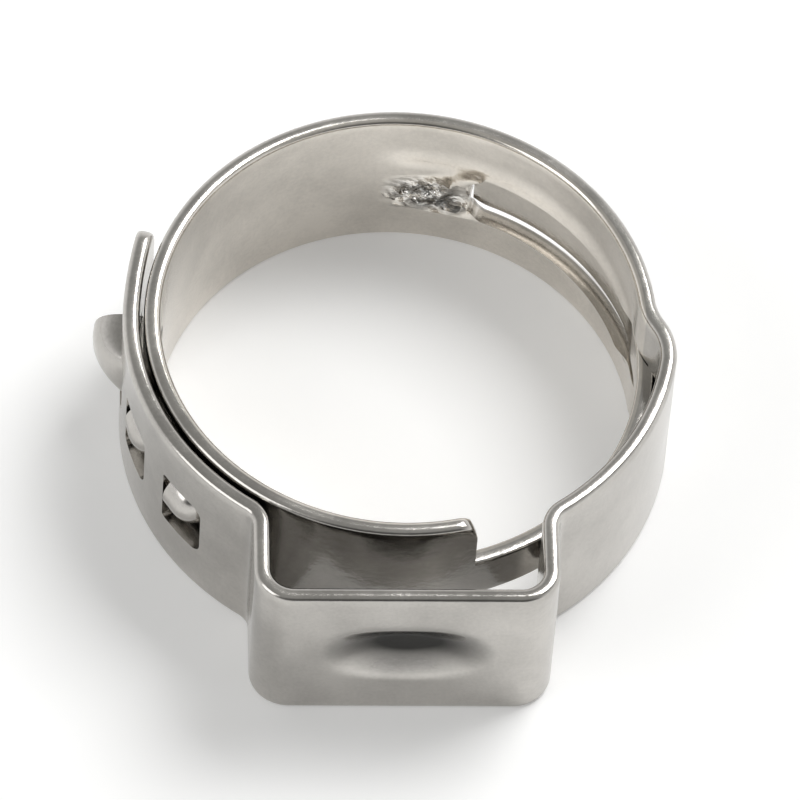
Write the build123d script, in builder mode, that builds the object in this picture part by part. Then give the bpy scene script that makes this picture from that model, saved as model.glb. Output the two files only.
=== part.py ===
from build123d import *
import os
from math import acos, asin, degrees, sqrt

os.makedirs("parts", exist_ok=True)

# Stepless ear clamp for a soft hose, stamped and folded from one steel strip.
# Millimetres, +Z up. The origin is on the bore axis, in the plane of the lower band edge.
# Angles run counter-clockwise from +X, seen from above, and the ear points to -Y.

# Strip
bore_d = 17.0  # free bore, before the ear is closed
band_w = 7.0
band_t = 0.6
layer_gap = 0.15  # between the inner layer and the layer that laps over it
rim_r = 0.12  # tumbled edges of the strip
corner_round_r = 0.6  # corners of its two ends

# Ear
ear_w = 10.7  # over its legs
ear_h = 2.0  # crown above the outer layer
ear_corner_r = 0.8  # inside radius at the crown
ear_root_r = 0.7  # inside radius where a leg leaves the ring
dimple_w = 5.6
dimple_h = 3.3
dimple_depth = 0.32
dimple_slope = 50.0  # degrees off square
dimple_corner_r = 1.3

# Joggle, where the strip steps from the inner to the outer layer
joggle_end = 3.5  # degrees, on the inner layer
joggle_r = 1.0  # inside radius of both bends

# Tongue, which closes the step in the bore, and the slot that it slides in
tongue_w = 2.2
tongue_side_gap = 0.15
tongue_cover = 2.6  # length of inner layer under the ear before the tongue begins
tongue_reach = 10.7  # past the joggle
tongue_point = 3.4
tongue_nose_w = 0.7
slot_lead = 0.3  # slot ahead of the joggle
slot_spare = 3.1  # slot beyond the tongue
slot_point = 1.9

# Hooks of the inner layer, in windows of the outer layer
first_window = 2.9  # from the ear root to the first window
window_pitch = 3.4
window_l = 2.05
window_w = 2.6
window_sharp_r = 0.15  # corners towards the tip, where the window bears on its hook
window_round_r = 0.45
tall_window_l = 2.6
tall_window_w = 2.8
hook_gap = 0.12  # from the bearing edge to the sheared mouth of a hook
hook_wall = 0.42  # drawn thinner than the strip
hook_l = 1.5
hook_w = 1.9
hook_rise = 0.08  # above the outer face
tall_hook_l = 2.25
tall_hook_w = 2.4
tall_hook_rise = 1.15

# Tip of the outer layer, which springs off the ring a little
tip_l = 3.5  # from the middle of the last window
sprung_l = 3.2
sprung_r = 19.0

# Stiffening bead under the ear
bead_w = 1.5
bead_depth = 0.12

# Radii of the strip's middle surface, and the faces worked out from them
inner_r = bore_d / 2 + band_t / 2
outer_r = inner_r + band_t + layer_gap
outer_face_r = outer_r + band_t / 2
lap_r = outer_r - band_t / 2 - layer_gap / 2  # halfway between the layers
mid_z = band_w / 2
slot_w = tongue_w + 2 * tongue_side_gap


def sweep_angle(length, radius):
    """Degrees that a length takes up along an arc."""
    return degrees(length / radius)


def ring_plane(angle, radius):
    """Plane tangent to the ring at mid-width: X round the ring, Y up its width, Z outwards."""
    outward = Vector(1, 0, 0).rotate(Axis.Z, angle)
    return Plane(
        origin=outward * radius + Vector(0, 0, mid_z),
        x_dir=outward.rotate(Axis.Z, 90),
        z_dir=outward,
    )


def capsule(length, width):
    """Plan of a short hook: square at its mouth, which is at the origin, and round at its toe."""
    Rectangle(length - width / 2, width, align=(Align.MIN, Align.CENTER))
    with Locations((length - width / 2, 0)):
        Circle(width / 2)


# Ear, set out on the middle surface
leg_x = ear_w / 2 - band_t / 2
root_r = ear_root_r + band_t / 2
corner_r = ear_corner_r + band_t / 2
crown_y = outer_r + ear_h
ear_half = degrees(asin((leg_x + root_r) / (outer_r + root_r)))
root_y = sqrt((outer_r + root_r) ** 2 - (leg_x + root_r) ** 2)
leg_l = crown_y - corner_r - root_y

# Joggle: two bends of one radius, tangent to each other and to both layers
bend_r = joggle_r + band_t / 2
near = inner_r + bend_r
far = outer_r - bend_r
joggle_span = degrees(acos((near**2 + far**2 - 4 * bend_r**2) / (2 * near * far)))
joggle_turn = degrees(acos((near**2 + 4 * bend_r**2 - far**2) / (4 * near * bend_r)))
joggle_start = joggle_end - joggle_span

# Places round the ring
tongue_root = -90 + ear_half - sweep_angle(tongue_cover, inner_r)
tongue_tip = joggle_end + sweep_angle(tongue_reach, inner_r)
slot_mouth = joggle_start - sweep_angle(slot_lead, outer_r)
slot_end = tongue_tip + sweep_angle(slot_spare, inner_r)
first_angle = 270 - ear_half - sweep_angle(first_window, outer_r)
window_step = sweep_angle(window_pitch, outer_r)
windows = [
    (first_angle, window_l, window_w),
    (first_angle - window_step, window_l, window_w),
    (first_angle - 2 * window_step, tall_window_l, tall_window_w),
]
mouths = [angle - sweep_angle(length / 2 - hook_gap, outer_r) for angle, length, width in windows]
short_mouths = mouths[:2]
tall_mouth = mouths[2]
sprung_angle = windows[2][0] - sweep_angle(tip_l - sprung_l, outer_r)
slot_taper = slot_end - sweep_angle(slot_point, inner_r)


# Tongue: a leaf at the bore radius that tapers to a blunt nose
with BuildPart() as tongue:
    with BuildSketch(Plane.XY.offset(mid_z - tongue_w / 2)):
        with BuildLine():
            CenterArc((0, 0), inner_r, tongue_root - 6, tongue_tip - tongue_root + 6)
        trace(line_width=band_t)
    extrude(amount=tongue_w)
    with BuildSketch(ring_plane(tongue_tip - sweep_angle(tongue_point, inner_r), 0)):
        with BuildLine():
            Polyline(
                (0, tongue_w),
                (0, tongue_w / 2),
                (tongue_point, tongue_nose_w / 2),
                (tongue_point, -tongue_nose_w / 2),
                (0, -tongue_w / 2),
                (0, -tongue_w),
                (2 * tongue_point, -tongue_w),
                (2 * tongue_point, tongue_w),
                close=True,
            )
        make_face()
    extrude(amount=outer_r, mode=Mode.SUBTRACT)

# Punches for the three windows, which stop between the layers
with BuildPart() as window_punch:
    for angle, length, width in windows:
        with BuildSketch(ring_plane(angle, 0)) as window:
            Rectangle(length, width)
            fillet(window.vertices().group_by(Axis.X)[0], window_sharp_r)
            fillet(window.vertices().group_by(Axis.X)[-1], window_round_r)
        extrude(amount=crown_y)
    with BuildSketch():
        Circle(lap_r)
    extrude(amount=band_w, mode=Mode.SUBTRACT)

# Tall hook: a hood with its mouth towards the tip, and the hollow under it
tall_base = ring_plane(tall_mouth, inner_r)
tall_side = Plane(origin=tall_base.origin, x_dir=tall_base.x_dir, z_dir=-tall_base.y_dir)
tall_h = outer_face_r + tall_hook_rise - inner_r
with BuildPart() as tall_hook:
    with BuildSketch(tall_side):
        Ellipse(tall_hook_l, tall_h)
        Rectangle(tall_hook_l, tall_h, align=Align.MIN, mode=Mode.INTERSECT)
    extrude(amount=tall_hook_w / 2, both=True)
    fillet(tall_hook.edges().filter_by(GeomType.ELLIPSE), 0.75 * tall_hook_w / 2)
with BuildPart() as tall_hollow:
    with BuildSketch(tall_side):
        Ellipse(tall_hook_l - hook_wall, tall_h - hook_wall)
        Rectangle(tall_hook_l, tall_h, align=Align.MIN, mode=Mode.INTERSECT)
    extrude(amount=tall_hook_w / 2 - hook_wall, both=True)
    fillet(tall_hollow.edges().filter_by(GeomType.ELLIPSE), 0.75 * (tall_hook_w / 2 - hook_wall))
    with BuildSketch(tall_base):
        Rectangle(tall_hook_l - hook_wall, tall_hook_w - 2 * hook_wall, align=(Align.MIN, Align.CENTER))
    extrude(amount=-band_t)

# Form of the dimple in the crown, drawn inwards from the crown's outer face
crown_face = Plane(origin=(0, -crown_y - band_t / 2, mid_z), x_dir=(1, 0, 0), z_dir=(0, -1, 0))
with BuildPart() as dimple:
    with BuildSketch(crown_face):
        RectangleRounded(dimple_w, dimple_h, dimple_corner_r)
    extrude(amount=-dimple_depth, taper=dimple_slope)
    fillet(dimple.faces().sort_by(Axis.Y)[-1].edges(), dimple_depth)

with BuildPart() as ear_clamp_band:
    # The strip: its middle line bent from the tongue root clockwise to the outer tip
    with BuildSketch():
        with BuildLine():
            inner_layer = CenterArc((0, 0), inner_r, tongue_root, joggle_end - 360 - tongue_root)
            step_out = JernArc(inner_layer @ 1, inner_layer % 1, bend_r, joggle_turn)
            step_in = JernArc(step_out @ 1, step_out % 1, bend_r, -joggle_turn - joggle_span)
            right_lap = CenterArc((0, 0), outer_r, joggle_start, -90 + ear_half - joggle_start)
            right_root = JernArc(right_lap @ 1, right_lap % 1, root_r, 90 - ear_half)
            right_leg = Line(right_root @ 1, (leg_x, corner_r - crown_y))
            right_corner = JernArc(right_leg @ 1, right_leg % 1, corner_r, -90)
            crown = Line(right_corner @ 1, (corner_r - leg_x, -crown_y))
            left_corner = JernArc(crown @ 1, crown % 1, corner_r, -90)
            left_leg = Line(left_corner @ 1, (-leg_x, -root_y))
            left_root = JernArc(left_leg @ 1, left_leg % 1, root_r, 90 - ear_half)
            left_lap = CenterArc((0, 0), outer_r, 270 - ear_half, sprung_angle - 270 + ear_half)
            JernArc(left_lap @ 1, left_lap % 1, sprung_r, -sweep_angle(sprung_l, sprung_r))
        trace(line_width=band_t)
    extrude(amount=band_w)
    end_corners = ear_clamp_band.edges().filter_by(lambda edge: edge.length < 1.01 * band_t)
    fillet(end_corners, corner_round_r)
    rims = ear_clamp_band.faces().filter_by(Plane.XY)
    fillet(rims.edges(), rim_r)

    # Slot for the tongue, with a pointed closed end
    with BuildSketch(Plane.XY.offset(mid_z - slot_w / 2)):
        with BuildLine():
            CenterArc((0, 0), (inner_r + outer_r) / 2, slot_mouth, slot_taper - slot_mouth)
        trace(line_width=outer_r - inner_r + 2 * band_t)
    extrude(amount=slot_w, mode=Mode.SUBTRACT)
    with BuildSketch(ring_plane(slot_taper, inner_r - band_t)):
        with BuildLine():
            Line((0, slot_w / 2), (0, -slot_w / 2))
            TangentArc((0, -slot_w / 2), (slot_point, 0), tangent=(1, 0))
            TangentArc((0, slot_w / 2), (slot_point, 0), tangent=(1, 0))
        make_face()
    extrude(amount=2 * band_t, mode=Mode.SUBTRACT)
    add(tongue.part)

    # Windows, and the hooks that stand in them
    add(window_punch.part, mode=Mode.SUBTRACT)
    for mouth in short_mouths:
        base = ring_plane(mouth, outer_face_r + hook_rise - hook_w / 2)
        spin = Axis(base.origin, base.x_dir)
        with BuildSketch(base):
            capsule(hook_l, hook_w)
            Rectangle(hook_l, hook_w / 2, align=Align.MIN, mode=Mode.INTERSECT)
        revolve(axis=spin, revolution_arc=180)
        with BuildSketch(base):
            capsule(hook_l - hook_wall, hook_w - 2 * hook_wall)
            Rectangle(hook_l, hook_w / 2, align=Align.MIN, mode=Mode.INTERSECT)
        revolve(axis=spin, revolution_arc=180, mode=Mode.SUBTRACT)
        with BuildSketch(base):
            capsule(hook_l - hook_wall, hook_w - 2 * hook_wall)
        extrude(amount=-band_t, mode=Mode.SUBTRACT)
    add(tall_hook.part)
    add(tall_hollow.part, mode=Mode.SUBTRACT)

    # Dimple, pressed right through the crown
    add(dimple.part, mode=Mode.SUBTRACT)
    add(dimple.part.moved(Location((0, band_t, 0))))

ear_clamp_band.part.label = "ear_clamp_band"
export_step(ear_clamp_band.part, "parts/ear_clamp_band.step")
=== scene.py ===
from math import acos, asin, atan2, ceil, copysign, cos, degrees, hypot, pi, radians, sin, sqrt

import bmesh
import bpy
from mathutils import Euler, Matrix, Vector
from mathutils import noise as noise_field


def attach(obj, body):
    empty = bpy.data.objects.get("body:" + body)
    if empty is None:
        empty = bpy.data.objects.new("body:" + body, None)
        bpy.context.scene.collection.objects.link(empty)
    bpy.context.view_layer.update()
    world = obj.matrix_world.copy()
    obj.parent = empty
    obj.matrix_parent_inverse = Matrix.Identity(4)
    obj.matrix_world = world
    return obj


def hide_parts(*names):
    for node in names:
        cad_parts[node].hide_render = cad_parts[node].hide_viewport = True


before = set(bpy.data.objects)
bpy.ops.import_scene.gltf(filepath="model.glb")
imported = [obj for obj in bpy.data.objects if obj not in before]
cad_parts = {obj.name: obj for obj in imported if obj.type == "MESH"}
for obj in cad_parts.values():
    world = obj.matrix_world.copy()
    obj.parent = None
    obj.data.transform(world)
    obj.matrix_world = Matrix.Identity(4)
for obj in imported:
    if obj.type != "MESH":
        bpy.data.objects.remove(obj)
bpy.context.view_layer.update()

MM = 0.001

# Camera: looks down on the ear from the front
VIEW_HEIGHT = 56.0  # degrees above the floor
VIEW_TURN = -5.0  # degrees round to the left of the ear
VIEW_LEAN = 4.5  # degrees of roll
VIEW_DISTANCE = 350 * MM
FRAME_WIDTH = 28.5 * MM  # across the picture, at the clamp
SENSOR = 36.0
AIM = Vector((0.1 * MM, -0.9 * MM, 3.2 * MM))

# Light
SKY = 0.7
WALL = (1.0, 1.0, 1.0)
CEILING = (0.4, 0.4, 0.39)
CEILING_EDGE = (0.25, 0.7)  # sines of the heights where the ceiling starts and is full
FRONT = (0.1, 0.1, 0.098)  # the dark side of the room, in front
FRONT_FOOT = (0.12, 0.3)  # sines of the heights over which it darkens
FRONT_EDGE = (-0.45, -0.8)  # and how far forward
KEY_POWER = 2.4
KEY_PLACE = (0.25, 0.22, 0.5)
KEY_SIZE = (0.3, 0.3)
FILL_POWER = 0.7
FILL_PLACE = (-0.45, -0.2, 0.35)
FILL_SIZE = (0.35, 0.35)
FLOOR_SIZE = 3.0
FLOOR_ROUGHNESS = 0.8
FLOOR_COLOUR = (0.9, 0.9, 0.895)
FLOOR_LIFT = 0.2  # glow that keeps the shadows light

# Strip, in millimetres; angles are in degrees and run counter-clockwise from +X
BORE_R = 8.5
BAND_W = 7.0
BAND_T = 0.6
LAYER_GAP = 0.15
RIM_R = 0.22  # rims rolled round in the tumbling barrel
END_ROUND = 0.6  # corners of its two ends
EAR_W = 10.7  # over its legs
EAR_H = 2.0  # crown above the outer layer
EAR_CORNER_R = 0.8
EAR_ROOT_R = 0.7
JOGGLE_END = 6.0  # where the inner layer starts to step out
JOGGLE_R = 2.0
INNER_END = -74.0  # where the inner layer ends and the tongue begins
SPRUNG_R = 19.0  # the tip springs off the ring a little
SPRUNG_L = 3.2
TIP_L = 3.5  # from the middle of the last window
DIMPLE = (3.15, 1.7, 0.55)  # half width, half height, depth
DIMPLE_POWER = 2.7  # 2 is an ellipse, and more is squarer
DIMPLE_FLOOR = 0.25  # share of it that is flat

# Windows and hooks
FIRST_WINDOW = 2.9  # from the root of the ear
WINDOW_PITCH = 3.4
SHORT_WINDOW = (2.05, 2.6)  # length, width
TALL_WINDOW = (2.6, 2.8)
WINDOW_SHARP_R = 0.15
WINDOW_ROUND_R = 0.45
PUNCH_SPARE = 0.5  # past the metal
PUNCH_GAP = 0.01  # between the punches of the two layers
PUNCH_CUTS = 24
HOOK_GAP = 0.12  # from the bearing edge to the mouth
HOOK_WALL = 0.36
SHORT_HOOK = (1.5, 0.95, 0.95)  # length, half width, height
SHORT_HOOK_BASE = 8.98
SHORT_HOOK_FORM = (0.55, 2.0, True)  # straight part, squareness, whether it narrows
TALL_HOOK = (2.2, 1.2, 2.17)
TALL_HOOK_BASE = 8.8
TALL_HOOK_FORM = (0.1, 2.6, False)
HOLLOW_CORNERS = (0.05, 0.5)

# Tongue, slot and groove
TONGUE = (2.62, 4.6)  # low and high edge
TONGUE_TIP = 70.0
TONGUE_TAPER = 4.0  # degrees of nose
TONGUE_NOSE = 1.5  # width of its end
TONGUE_SUNK = 0.16  # below the face of the bore
TONGUE_RIM = 0.1
TONGUE_EASE = 0.01  # thinner than the strip on each face
TONGUE_ROOT = 2.0  # degrees that it runs on inside the strip
SLOT = (2.2, 4.66)
SLOT_START = -2.0
SLOT_END = 70.6
SLOT_CLOSE = (4.0, 0.45)  # degrees before its end where it starts to narrow, and the most at each side
SLOT_SPARE = 0.6  # of its punch, past the metal
SLOT_CUTS = 60
LIP = (0.14, 0.45, 0.1)  # bead that the shears leave: height, breadth, reach over the slot
GROOVE = (3.5, 1.0, 1.85, 0.2)  # middle, half width of floor, half width over creases, depth
GROOVE_START = 9.0
GROOVE_FULL = 16.0  # its depth is full between here
GROOVE_FADE = 84.0  # and here
GROOVE_END = 96.0
TEAR_START = 69.5
TEAR_END = 92.0
TEAR_HEIGHTS = (3.45, 2.7)  # middle of the tear at its start and end
TEAR_HALF = 1.05  # half its width
TEAR_LEAD = 0.1  # share of its length that it runs on before its start
TEAR_EDGE = (0.7, 1.05)  # shares of the half width over which it dies away
TEAR_GRAIN = (1.3, 2.6, 4.0)  # noise cells per millimetre along and up it, and the layer of noise used
TEAR_ROUGH = 0.4
TEAR_SUNK = 0.06
TEAR_LIP = 0.13
TEAR_LIP_AT = (0.65, 0.95, 1.35)  # its rise, crest and foot, in half widths

# Mesh
STEP = 0.15  # longest cell along the strip
BEND_STEP = 5.0  # and its largest turn
RIM_PARTS = 4  # facets to each rounded corner
ROWS = ((0.3, 0.3, 6), (1.9, 0.15, 22), (5.35, 0.3, 5))  # up the strip: first height, pitch, count
TONGUE_ROWS = (TONGUE[0] + 0.3, 0.3, 6)
HOOD_ROWS = 14
HOOD_STRAIGHT_ROWS = 3
HOOD_COLUMNS = 20
HOOD_TOE = 0.03  # share of the section left at the toe
SAME = 0.001  # places closer than this lie on one surface
SHEAR_ANGLE = 38.0  # a turn above this stays a hard edge

# Worked out from them
INNER_R = BORE_R + BAND_T / 2
OUTER_R = INNER_R + BAND_T + LAYER_GAP
OUTER_FACE_R = OUTER_R + BAND_T / 2
LAP_R = OUTER_R - BAND_T / 2 - LAYER_GAP / 2
MID_Z = BAND_W / 2
LEG_X = EAR_W / 2 - BAND_T / 2
ROOT_R = EAR_ROOT_R + BAND_T / 2
CORNER_R = EAR_CORNER_R + BAND_T / 2
CROWN_Y = OUTER_R + EAR_H
EAR_HALF = degrees(asin((LEG_X + ROOT_R) / (OUTER_R + ROOT_R)))
FIRST_ANGLE = 270 - EAR_HALF - degrees(FIRST_WINDOW / OUTER_R)
WINDOW_STEP = degrees(WINDOW_PITCH / OUTER_R)

# Finish of the strip
TORN_PLACE = (1.4 * MM, 8.3 * MM, 3.1 * MM)  # where the slot's end was torn and not cut
TORN_REACH = (1.9 * MM, 1.2 * MM, 1.1 * MM)
TORN_DEPTH = 14.0  # relief, against the dings of the plain strip
SHEAR_LAY = ((0, 0, -6), (1, 1, 2.2))  # turn and squeeze, which lay its lines along the slot
SHEAR_SCALE = 1.9
SHEAR_BAND = (0.44, 0.56)
# painted glints and painted shade, in streaks where the slot's end tore, over the torn metal's own fresh
# colour
TORN_PAINTED_GLINT = (0.9, 0.885, 0.86)
TORN_PAINTED_SHADE = (0.22, 0.21, 0.195)
DIMPLE_SHADE_PLACE = (0.15 * MM, -11.6 * MM, 3.6 * MM)  # painted shade in the dimple, which stands in for the dark reflection in its upper half
DIMPLE_SHADE_REACH = (3.2 * MM, 1.4 * MM, 1.55 * MM)
DIMPLE_SHADE_FULL = 0.4  # share of the reach within which it is full
# colour of the painted shade in the dimple
DIMPLE_PAINTED_SHADE = (0.045, 0.044, 0.042)
BORE_LIGHT_REACH = (8.72 * MM, 8.72 * MM, 1.0)  # the face towards the bore gets painted light, a lighter lit copy of the steel
BORE_LIGHT_FULL = 0.995
BORE_PAINTED_LIGHT_HIGH = (0.79, 0.75, 0.69)
BORE_PAINTED_LIGHT_LOW = (0.63, 0.597, 0.547)
STEEL_COLOUR = (0.56, 0.54, 0.51)
STEEL_SHADE = (0.44, 0.424, 0.4)
DULLNESS = (0.14, 0.21)  # roughness from the clearest to the cloudiest place
SCUFF_DULLNESS = 0.06
SCUFF_DEPTH = 0.02
GRAIN_DEPTH = 0.1
DING_DEPTH = 0.03 * MM
DING_STRENGTH = 0.35
CLOUD_SCALE = 0.35  # noise scales are in cells per millimetre
GRAIN_SCALE = 7.0
GRAIN_SHARE = 0.25
DING_SCALE = 1.6
SCUFFS = (((10, 35, 20), (1, 7, 7), 1.1), ((80, -30, 65), (7, 1, 7), 1.3))  # turn, squeeze, scale
CLOUD_BAND = (0.35, 0.65)  # bands of noise that are drawn out to the full range
MOTTLE_BAND = (0.36, 0.64)
SCUFF_BAND = (0.62, 0.75)


def fade(value, start, end):
    """Eases from 0 at the start to 1 at the end."""
    share = min(max((value - start) / (end - start), 0.0), 1.0)
    return share * share * (3 - 2 * share)


def combine(nodes, links, operation, first, second):
    """Arithmetic on two masks, or on a mask and a number."""
    step = nodes.new("ShaderNodeMath")
    step.operation = operation
    links.new(first, step.inputs[0])
    if isinstance(second, float):
        step.inputs[1].default_value = second
    else:
        links.new(second, step.inputs[1])
    return step.outputs[0]


def spread(nodes, links, value, low, high, to_low=0.0, to_high=1.0):
    """Maps a band of a mask onto a range, clamped."""
    step = nodes.new("ShaderNodeMapRange")
    step.inputs["From Min"].default_value = low
    step.inputs["From Max"].default_value = high
    step.inputs["To Min"].default_value = to_low
    step.inputs["To Max"].default_value = to_high
    links.new(value, step.inputs["Value"])
    return step.outputs["Result"]


def noise(nodes, links, vector, scale, detail=3.0, roughness=0.55):
    """A noise mask whose scale is in cells per millimetre."""
    texture = nodes.new("ShaderNodeTexNoise")
    texture.inputs["Scale"].default_value = scale / MM
    texture.inputs["Detail"].default_value = detail
    texture.inputs["Roughness"].default_value = roughness
    links.new(vector, texture.inputs["Vector"])
    return texture.outputs["Fac"]


def stretch(nodes, links, vector, turn, squeeze):
    """The same place in a space turned and drawn out, for scuffs that run one way."""
    mapping = nodes.new("ShaderNodeMapping")
    mapping.inputs["Rotation"].default_value = Euler([radians(a) for a in turn])
    mapping.inputs["Scale"].default_value = squeeze
    links.new(vector, mapping.inputs["Vector"])
    return mapping.outputs["Vector"]


def mix_colours(nodes, links, mask, first, second):
    """From one colour to another by a mask; a colour is three numbers or a socket."""
    blend = nodes.new("ShaderNodeMix")
    blend.data_type = "RGBA"
    links.new(mask, blend.inputs["Factor"])
    for socket, colour in ((blend.inputs[6], first), (blend.inputs[7], second)):
        if isinstance(colour, tuple):
            socket.default_value = (*colour, 1)
        else:
            links.new(colour, socket)
    return blend.outputs[2]


def near_place(nodes, links, vector, centre, reach, full=0.55):
    """1 at a place on the part and 0 beyond its reach, which is given along X, Y and Z."""
    offset = nodes.new("ShaderNodeVectorMath")
    offset.operation = "SUBTRACT"
    offset.inputs[1].default_value = centre
    links.new(vector, offset.inputs[0])
    scaled = nodes.new("ShaderNodeVectorMath")
    scaled.operation = "DIVIDE"
    scaled.inputs[1].default_value = reach
    links.new(offset.outputs["Vector"], scaled.inputs[0])
    distance = nodes.new("ShaderNodeVectorMath")
    distance.operation = "LENGTH"
    links.new(scaled.outputs["Vector"], distance.inputs[0])
    return spread(nodes, links, distance.outputs["Value"], 1.0, full)


def shown_rays(nodes, links):
    """1 for the rays that see the background: from the eye, a reflection or through glass."""
    path = nodes.new("ShaderNodeLightPath")
    shown = path.outputs["Is Camera Ray"]
    for kind in ("Is Glossy Ray", "Is Transmission Ray"):
        shown = combine(nodes, links, "MAXIMUM", shown, path.outputs[kind])
    return shown


def look_at(obj, target, roll=0.0):
    """Points an object's -Z at a target, turned by a roll about that line."""
    aim = (Vector(target) - obj.location).to_track_quat("-Z", "Y").to_matrix().to_4x4()
    obj.matrix_world = Matrix.Translation(obj.location) @ aim @ Matrix.Rotation(roll, 4, "Z")


def make_camera():
    """Long lens, so that the ring isn't drawn in with distance."""
    data = bpy.data.cameras.new("bench_camera")
    data.sensor_width = SENSOR
    data.lens = SENSOR * VIEW_DISTANCE / FRAME_WIDTH
    data.clip_start = 1 * MM
    camera = bpy.data.objects.new("bench_camera", data)
    bpy.context.scene.collection.objects.link(camera)
    height, turn = radians(VIEW_HEIGHT), radians(VIEW_TURN)
    back = Vector((sin(turn) * cos(height), -cos(turn) * cos(height), sin(height)))
    camera.location = AIM + VIEW_DISTANCE * back
    look_at(camera, AIM, radians(VIEW_LEAN))
    bpy.context.scene.camera = camera


def make_lamp(name, place, size, power):
    """Softbox that faces the clamp."""
    data = bpy.data.lights.new(name, "AREA")
    data.shape = "RECTANGLE"
    data.size, data.size_y = size
    data.energy = power
    lamp = bpy.data.objects.new(name, data)
    bpy.context.scene.collection.objects.link(lamp)
    lamp.location = place
    look_at(lamp, (0, 0, 0))


def make_sky():
    """A white surround under a dimmer ceiling, which lights more softly than it shows."""
    world = bpy.data.worlds.new("white_room")
    bpy.context.scene.world = world
    world.use_nodes = True
    nodes, links = world.node_tree.nodes, world.node_tree.links
    background = nodes["Background"]
    shown = shown_rays(nodes, links)
    links.new(spread(nodes, links, shown, 0.0, 1.0, SKY, 1.0), background.inputs["Strength"])

    direction = nodes.new("ShaderNodeSeparateXYZ")
    links.new(nodes.new("ShaderNodeTexCoord").outputs["Generated"], direction.inputs[0])
    overhead = spread(nodes, links, direction.outputs["Z"], *CEILING_EDGE)
    ceiling = mix_colours(nodes, links, overhead, WALL, CEILING)
    raised = spread(nodes, links, direction.outputs["Z"], *FRONT_FOOT)
    ahead = spread(nodes, links, direction.outputs["Y"], *FRONT_EDGE)
    front = combine(nodes, links, "MULTIPLY", raised, ahead)
    room = mix_colours(nodes, links, front, ceiling, FRONT)
    links.new(room, background.inputs["Color"])


def make_floor():
    """White card, which takes the clamp's shadow."""
    bpy.ops.mesh.primitive_plane_add(size=FLOOR_SIZE)
    floor = bpy.context.active_object
    floor.name = "floor"
    material = bpy.data.materials.new("white_card")
    material.use_nodes = True
    nodes, links = material.node_tree.nodes, material.node_tree.links
    shader = nodes["Principled BSDF"]
    shader.inputs["Base Color"].default_value = (*FLOOR_COLOUR, 1)
    shader.inputs["Roughness"].default_value = FLOOR_ROUGHNESS
    shader.inputs["Specular IOR Level"].default_value = 0.0
    shader.inputs["Emission Color"].default_value = (1, 1, 1, 1)
    lift = combine(nodes, links, "MULTIPLY", shown_rays(nodes, links), FLOOR_LIFT)
    links.new(lift, shader.inputs["Emission Strength"])
    floor.data.materials.append(material)


def run(path, length):
    """Carries a path straight on."""
    x, y, heading = path[-1]
    count = ceil(length / STEP)
    for i in range(1, count + 1):
        reach = length * i / count
        path.append((x + reach * cos(radians(heading)), y + reach * sin(radians(heading)), heading))


def bend(path, radius, turn):
    """Carries a path on round an arc; a turn above 0 is counter-clockwise."""
    x, y, heading = path[-1]
    arm = copysign(radius, turn)
    centre_x = x - arm * sin(radians(heading))
    centre_y = y + arm * cos(radians(heading))
    count = max(ceil(radius * radians(abs(turn)) / STEP), ceil(abs(turn) / BEND_STEP))
    for i in range(1, count + 1):
        way = heading + turn * i / count
        path.append((centre_x + arm * sin(radians(way)), centre_y - arm * cos(radians(way)), way))


def clockwise_from(angle, radius):
    """A path's first place, on the ring and heading clockwise."""
    return [(radius * cos(radians(angle)), radius * sin(radians(angle)), angle - 90)]


def strip_path():
    """Middle line of the folded strip, from the inner end clockwise to the outer tip."""
    bend_r = JOGGLE_R + BAND_T / 2
    near, far = INNER_R + bend_r, OUTER_R - bend_r
    span = degrees(acos((near**2 + far**2 - 4 * bend_r**2) / (2 * near * far)))
    turn = degrees(acos((near**2 + 4 * bend_r**2 - far**2) / (4 * near * bend_r)))
    leg = CROWN_Y - CORNER_R - sqrt((OUTER_R + ROOT_R) ** 2 - (LEG_X + ROOT_R) ** 2)
    sprung_angle = FIRST_ANGLE - 2 * WINDOW_STEP - degrees((TIP_L - SPRUNG_L) / OUTER_R)

    path = clockwise_from(INNER_END, INNER_R)
    bend(path, INNER_R, JOGGLE_END - 360 - INNER_END)
    bend(path, bend_r, turn)
    bend(path, bend_r, -turn - span)
    bend(path, OUTER_R, -90 + EAR_HALF - JOGGLE_END + span)
    bend(path, ROOT_R, 90 - EAR_HALF)
    run(path, leg)
    bend(path, CORNER_R, -90)
    run(path, 2 * (LEG_X - CORNER_R))
    bend(path, CORNER_R, -90)
    run(path, leg)
    bend(path, ROOT_R, 90 - EAR_HALF)
    bend(path, OUTER_R, sprung_angle - 270 + EAR_HALF)
    bend(path, SPRUNG_R, -degrees(SPRUNG_L / SPRUNG_R))
    return path


def pressed(x, y, z):
    """How far the strip's middle surface is pressed inwards at a place on it."""
    if abs(y + CROWN_Y) < SAME:
        wide, high, depth = DIMPLE
        out = (abs(x / wide) ** DIMPLE_POWER + abs((z - MID_Z) / high) ** DIMPLE_POWER) ** (1 / DIMPLE_POWER)
        return depth * (1 - fade(out, DIMPLE_FLOOR, 1.0))
    angle = degrees(atan2(y, x))
    if not GROOVE_START < angle < GROOVE_END or hypot(x, y) > INNER_R + SAME:
        return 0.0
    middle, floor, crease, depth = GROOVE
    lengthways = fade(angle, GROOVE_START, GROOVE_FULL) * (1 - fade(angle, GROOVE_FADE, GROOVE_END))
    across = 1 - fade(abs(z - middle), floor, crease)
    lip_height, lip_breadth, lip_reach = LIP
    lip = lip_height * (1 - fade(SLOT[0] - z, 0.0, lip_breadth)) if z < SLOT[0] + lip_reach else 0.0
    return (depth * across + lip) * lengthways + torn(angle, z)


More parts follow.
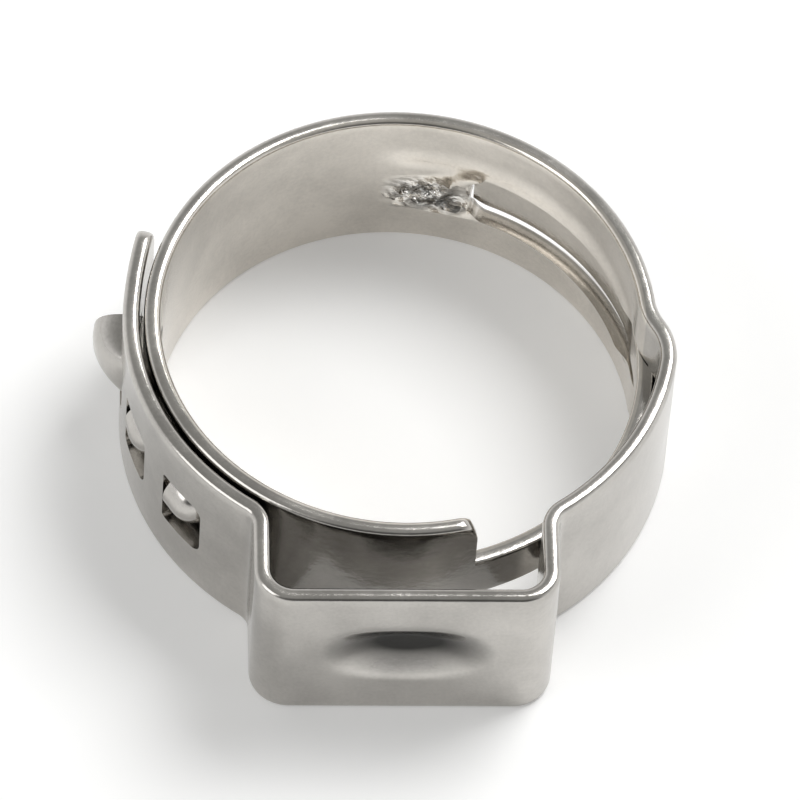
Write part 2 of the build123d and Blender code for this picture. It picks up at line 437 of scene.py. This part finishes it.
def torn(angle, z):
    """Ragged metal at the narrow end of the slot, which tears as the strip is formed."""
    share = (angle - TEAR_START) / (TEAR_END - TEAR_START)
    if not -TEAR_LEAD < share < 1:
        return 0.0
    middle = TEAR_HEIGHTS[0] + share * (TEAR_HEIGHTS[1] - TEAR_HEIGHTS[0])
    half = TEAR_HALF * (1 - max(share, 0.0) ** 2)
    off = abs(z - middle) / max(half, 0.05)
    inside = 1 - fade(off, *TEAR_EDGE)
    along, up, cut = TEAR_GRAIN
    place = Vector((INNER_R * radians(angle) * along, z * up, cut))
    ragged = inside * (TEAR_SUNK + TEAR_ROUGH * noise_field.fractal(place, 1.0, 2.1, 4))
    rise, crest, foot = TEAR_LIP_AT
    return max(ragged + TEAR_LIP * (fade(off, rise, crest) - fade(off, crest, foot)), 0.0)


def sunk(x, y, z):
    """The tongue lies a little below the face of the bore along the slot."""
    return -TONGUE_SUNK * fade(degrees(atan2(y, x)), GROOVE_START, GROOVE_FULL)


def section(low, high, rim, half, rows):
    """Outline of a strip cut across, as places off its middle surface and up its width."""
    def corner(off, z, start):
        turns = [radians(start + 90 * part / RIM_PARTS) for part in range(RIM_PARTS + 1)]
        return [(off + rim * cos(a), z + rim * sin(a)) for a in turns]

    top, bottom, side = high - rim, low + rim, half - rim
    heights = [first + pitch * i for first, pitch, count in rows for i in range(count)]
    inner = [z for z in heights if bottom < z < top]
    return (
        [(half, z) for z in inner] + corner(side, top, 0) + corner(-side, top, 90)
        + [(-half, z) for z in reversed(inner)] + corner(-side, bottom, 180) + corner(side, bottom, 270)
    )


def solid(name, points, faces):
    """Mesh object from places in millimetres."""
    mesh = bpy.data.meshes.new(name)
    mesh.from_pydata(points, [], faces)
    work = bmesh.new()
    work.from_mesh(mesh)
    bmesh.ops.remove_doubles(work, verts=work.verts, dist=0.002)
    bmesh.ops.recalc_face_normals(work, faces=work.faces)
    work.to_mesh(mesh)
    work.free()
    piece = bpy.data.objects.new(name, mesh)
    bpy.context.scene.collection.objects.link(piece)
    return piece


def swept(name, path, outline, narrow, shift):
    """Closed strip that follows a path; narrow gives the share of its width at a distance from each end."""
    reach = [0.0]
    for (ax, ay, _), (bx, by, _) in zip(path, path[1:]):
        reach.append(reach[-1] + hypot(bx - ax, by - ay))
    middle = (min(z for _, z in outline) + max(z for _, z in outline)) / 2
    points = []
    for (x, y, heading), done in zip(path, reach):
        share = narrow(done, reach[-1] - done)
        out_x, out_y = -sin(radians(heading)), cos(radians(heading))
        for off, z in outline:
            height = middle + share * (z - middle)
            off -= shift(x, y, height)
            points.append((x + off * out_x, y + off * out_y, height))
    size = len(outline)
    faces = [
        (a * size + b, a * size + (b + 1) % size, (a + 1) * size + (b + 1) % size, (a + 1) * size + b)
        for a in range(len(path) - 1) for b in range(size)
    ]
    faces.append(tuple(reversed(range(size))))
    faces.append(tuple(range((len(path) - 1) * size, len(path) * size)))
    return solid(name, points, faces)


def rounded_end(distance, radius):
    """How much narrower a strip is at each edge, this far from an end with round corners."""
    lacks = max(radius - distance, 0.0)
    return radius - sqrt(max(radius**2 - lacks**2, 0.0))


def strip_width(from_root, from_tip):
    """Share of the strip's width at a distance from each of its ends."""
    return 1 - 2 * rounded_end(min(from_root, from_tip), END_ROUND) / BAND_W


def tongue_width(from_nose, from_root):
    """Share of the tongue's width; its path starts at its nose."""
    share = min(from_nose / radians(TONGUE_TAPER) / INNER_R, 1.0)
    wide = TONGUE[1] - TONGUE[0]
    return (TONGUE_NOSE + (wide - TONGUE_NOSE) * sin(share * pi / 2)) / wide


def punch(name, cuts):
    """Curved block: each cut is an angle, a low and a high edge, and a near and a far radius."""
    points = []
    for angle, low, high, near, far in cuts:
        cos_a, sin_a = cos(radians(angle)), sin(radians(angle))
        points += [(r * cos_a, r * sin_a, z) for r, z in ((near, low), (far, low), (far, high), (near, high))]
    last = 4 * (len(cuts) - 1)
    faces = [(4 * a + b, 4 * a + (b + 1) % 4, 4 * a + 4 + (b + 1) % 4, 4 * a + 4 + b)
             for a in range(len(cuts) - 1) for b in range(4)]
    return solid(name, points, faces + [(0, 3, 2, 1), (last, last + 1, last + 2, last + 3)])


def opening(name, angle, length, width, radii, near, far):
    """Punch for a square hole that faces a place on the ring, with a corner radius at either end."""
    cuts = []
    for i in range(PUNCH_CUTS + 1):
        along = length * (1 - cos(pi * i / PUNCH_CUTS)) / 2
        less = max(rounded_end(along, radii[0]), rounded_end(length - along, radii[1]))
        place = angle + degrees((along - length / 2) / OUTER_R)
        cuts.append((place, MID_Z - width / 2 + less, MID_Z + width / 2 - less, near, far))
    return punch(name, cuts)


def hood_skin(size, straight, power, tapers):
    """One face of a lanced hook: rows of places from its mouth to its toe."""
    length, half, height = size
    rows = []
    for row in range(HOOD_ROWS + 1):
        turn = pi / 2 * max(row - HOOD_STRAIGHT_ROWS, 0) / (HOOD_ROWS - HOOD_STRAIGHT_ROWS)
        reach = straight * min(row, HOOD_STRAIGHT_ROWS) / HOOD_STRAIGHT_ROWS + (length - straight) * sin(turn)
        scale = max(cos(turn), HOOD_TOE)
        arch = []
        for column in range(HOOD_COLUMNS + 1):
            swing = pi * column / HOOD_COLUMNS
            wide = copysign(abs(cos(swing)) ** (2 / power), cos(swing)) * half * (scale if tapers else 1)
            arch.append((reach, wide, abs(sin(swing)) ** (2 / power) * height * scale))
        rows.append(arch)
    return rows


def hood(name, angle, base, size, straight, power, tapers):
    """Lanced hook: a thin shell, open at its mouth and its foot, that closes down to a toe."""
    thin = tuple(value - HOOK_WALL for value in size)
    skins = [hood_skin(size, straight, power, tapers), hood_skin(thin, straight, power, tapers)]
    outward = Vector((cos(radians(angle)), sin(radians(angle)), 0))
    along = Vector((-outward.y, outward.x, 0))
    points = [tuple(outward * (base + tall) + along * reach + Vector((0, 0, MID_Z + wide)))
              for skin in skins for row in skin for reach, wide, tall in row]
    width, count = HOOD_COLUMNS + 1, (HOOD_ROWS + 1) * (HOOD_COLUMNS + 1)
    faces = []
    for a in range(HOOD_ROWS):
        for b in range(HOOD_COLUMNS):
            cell = (a * width + b, a * width + b + 1, (a + 1) * width + b + 1, (a + 1) * width + b)
            faces += [cell, tuple(count + corner for corner in reversed(cell))]
    foot = list(range(width)) + [(a + 1) * width - 1 for a in range(1, HOOD_ROWS)]
    foot += list(range(count - 1, count - width - 1, -1)) + [a * width for a in range(HOOD_ROWS - 1, 0, -1)]
    faces += [(a, b, count + b, count + a) for a, b in zip(foot, foot[1:] + foot[:1])]
    return solid(name, points, faces)


def apply_modifiers(piece):
    """Gives a piece the mesh that its modifiers make."""
    bpy.context.view_layer.update()
    made = bpy.data.meshes.new_from_object(piece.evaluated_get(bpy.context.evaluated_depsgraph_get()))
    piece.modifiers.clear()
    piece.data = made


def combine_solids(piece, others, operation):
    """Cuts the others out of a piece, or joins them to it."""
    for other in others:
        step = piece.modifiers.new(other.name, "BOOLEAN")
        step.object = other
        step.operation = operation
        step.solver = "MANIFOLD"


def window_places():
    """Middle of each window round the ring, and its size."""
    sizes = (SHORT_WINDOW, SHORT_WINDOW, TALL_WINDOW)
    return [(FIRST_ANGLE - i * WINDOW_STEP, size) for i, size in enumerate(sizes)]


def window_punches():
    """Punches for the windows, which stop between the two layers."""
    corners = (WINDOW_SHARP_R, WINDOW_ROUND_R)
    return [
        opening(f"window_punch_{i}", place, length, width, corners, LAP_R, OUTER_FACE_R + PUNCH_SPARE)
        for i, (place, (length, width)) in enumerate(window_places())
    ]


def make_hooks():
    """The hooks, and a punch for the hole that each one leaves in the inner layer."""
    short, tall = (SHORT_HOOK_BASE, SHORT_HOOK, SHORT_HOOK_FORM), (TALL_HOOK_BASE, TALL_HOOK, TALL_HOOK_FORM)
    hooks, punches = [], []
    for i, (window, (base, size, form)) in enumerate(zip(window_places(), (short, short, tall))):
        place, (window_l, _) = window
        mouth = place - degrees((window_l / 2 - HOOK_GAP) / OUTER_R)
        hooks.append(hood(f"hook_{i}", mouth, base, size, *form))
        hollow_l, hollow_w = size[0] - HOOK_WALL, 2 * (size[1] - HOOK_WALL)
        middle = mouth + degrees(hollow_l / 2 / OUTER_R)
        punches.append(opening(f"hook_punch_{i}", middle, hollow_l, hollow_w, HOLLOW_CORNERS,
                               BORE_R - PUNCH_SPARE, LAP_R - PUNCH_GAP))
    return hooks, punches


def slot_punch():
    """Punch for the slot, from its mouth, through the joggle, to its narrow end."""
    cuts, inside, outside = [], BORE_R - SLOT_SPARE, OUTER_FACE_R + SLOT_SPARE
    for i in range(SLOT_CUTS + 1):
        angle = SLOT_START + (SLOT_END - SLOT_START) * i / SLOT_CUTS
        close = fade(angle, SLOT_END - SLOT_CLOSE[0], SLOT_END + 1) * SLOT_CLOSE[1]
        cuts.append((angle, SLOT[0] + close, SLOT[1] - close, inside, outside))
    return punch("slot_punch", cuts)


def make_tongue():
    """The leaf that runs from the inner end, under the ear, into the slot."""
    leaf = clockwise_from(TONGUE_TIP, INNER_R)
    bend(leaf, INNER_R, INNER_END - TONGUE_TIP - TONGUE_ROOT)
    outline = section(*TONGUE, TONGUE_RIM, BAND_T / 2 - TONGUE_EASE, [TONGUE_ROWS])
    return swept("tongue", leaf, outline, tongue_width, sunk)


def build_strip():
    """The folded strip with its windows, hooks, slot and tongue, as one mesh."""
    outline = section(0, BAND_W, RIM_R, BAND_T / 2, ROWS)
    band = swept("ear_clamp_strip", strip_path(), outline, strip_width, pressed)
    hooks, hook_punches = make_hooks()
    punches = [*window_punches(), *hook_punches, slot_punch()]
    added = [make_tongue(), *hooks]
    combine_solids(band, punches, "DIFFERENCE")
    combine_solids(band, added, "UNION")
    apply_modifiers(band)
    band.data.transform(Matrix.Scale(MM, 4))
    for helper in (*punches, *added):
        bpy.data.objects.remove(helper)
    return band


def steel_colour(nodes, links, place, mottle, tear, shear):
    """Cloudy steel, with painted light on the face towards the bore, painted glints and painted shade over
    the fresh metal where it tore, and painted shade in the dimple.
    """
    outside = mix_colours(nodes, links, mottle, STEEL_SHADE, STEEL_COLOUR)
    # painted light: a lighter, lit copy of the steel on the face towards the bore
    inside = mix_colours(nodes, links, mottle, BORE_PAINTED_LIGHT_LOW, BORE_PAINTED_LIGHT_HIGH)
    bore = near_place(nodes, links, place, (0, 0, 0), BORE_LIGHT_REACH, BORE_LIGHT_FULL)
    faced = mix_colours(nodes, links, bore, outside, inside)
    # painted glints and painted shade in streaks on the torn metal, partly its own fresh colour
    torn_glint_and_shade = mix_colours(nodes, links, spread(nodes, links, shear, *SHEAR_BAND), TORN_PAINTED_SHADE, TORN_PAINTED_GLINT)
    bare = mix_colours(nodes, links, tear, faced, torn_glint_and_shade)
    # painted shade: the dimple is darkened in the colour, for its dark reflection
    dimple_shade = near_place(nodes, links, place, DIMPLE_SHADE_PLACE, DIMPLE_SHADE_REACH, DIMPLE_SHADE_FULL)
    return mix_colours(nodes, links, dimple_shade, bare, DIMPLE_PAINTED_SHADE)


def scuff_marks(nodes, links, place):
    """Fine scratches that run two ways."""
    marks = []
    for turn, squeeze, scale in SCUFFS:
        lay = noise(nodes, links, stretch(nodes, links, place, turn, squeeze), scale)
        marks.append(spread(nodes, links, lay, *SCUFF_BAND))
    return combine(nodes, links, "MAXIMUM", *marks)


def steel_relief(nodes, links, place, grain, scuffs, tear, shear):
    """Height of the dings, grain and scuffs, and of the ragged metal at the tear."""
    dings = noise(nodes, links, place, DING_SCALE, detail=4.0)
    height = combine(nodes, links, "ADD", dings, combine(nodes, links, "MULTIPLY", grain, GRAIN_DEPTH))
    height = combine(nodes, links, "SUBTRACT", height, combine(nodes, links, "MULTIPLY", scuffs, SCUFF_DEPTH))
    ragged = combine(nodes, links, "MULTIPLY", shear, tear)
    return combine(nodes, links, "ADD", height, combine(nodes, links, "MULTIPLY", ragged, TORN_DEPTH))


def tumbled_steel():
    """Stainless strip, dulled and lightly scuffed in the tumbling barrel."""
    material = bpy.data.materials.new("tumbled_steel")
    material.use_nodes = True
    nodes, links = material.node_tree.nodes, material.node_tree.links
    shader = nodes["Principled BSDF"]
    shader.inputs["Metallic"].default_value = 1.0
    place = nodes.new("ShaderNodeTexCoord").outputs["Object"]

    cloud = noise(nodes, links, place, CLOUD_SCALE)
    grain = noise(nodes, links, place, GRAIN_SCALE, detail=2.0)
    mixed = combine(nodes, links, "ADD", combine(nodes, links, "MULTIPLY", cloud, 1 - GRAIN_SHARE),
                    combine(nodes, links, "MULTIPLY", grain, GRAIN_SHARE))
    mottle = spread(nodes, links, mixed, *MOTTLE_BAND)
    scuffs = scuff_marks(nodes, links, place)
    tear = near_place(nodes, links, place, TORN_PLACE, TORN_REACH)
    shear = noise(nodes, links, stretch(nodes, links, place, *SHEAR_LAY), SHEAR_SCALE)

    links.new(steel_colour(nodes, links, place, mottle, tear, shear), shader.inputs["Base Color"])
    dull = spread(nodes, links, cloud, *CLOUD_BAND, *DULLNESS)
    scuffed = combine(nodes, links, "MULTIPLY", scuffs, SCUFF_DULLNESS)
    links.new(combine(nodes, links, "ADD", dull, scuffed), shader.inputs["Roughness"])
    bump = nodes.new("ShaderNodeBump")
    bump.inputs["Strength"].default_value = DING_STRENGTH
    bump.inputs["Distance"].default_value = DING_DEPTH
    links.new(steel_relief(nodes, links, place, grain, scuffs, tear, shear), bump.inputs["Height"])
    links.new(bump.outputs["Normal"], shader.inputs["Normal"])
    return material


def finish_band():
    """The strip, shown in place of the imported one."""
    band = build_strip()
    band.data.materials.clear()
    band.data.materials.append(tumbled_steel())
    band.data.shade_smooth()
    band.data.set_sharp_from_angle(angle=radians(SHEAR_ANGLE))
    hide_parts("ear_clamp_band")
    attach(band, "root")


make_camera()
make_sky()
make_lamp("key_softbox", KEY_PLACE, KEY_SIZE, KEY_POWER)
make_lamp("fill_softbox", FILL_PLACE, FILL_SIZE, FILL_POWER)
make_floor()
finish_band()

bpy.context.scene.view_settings.view_transform = "Standard"
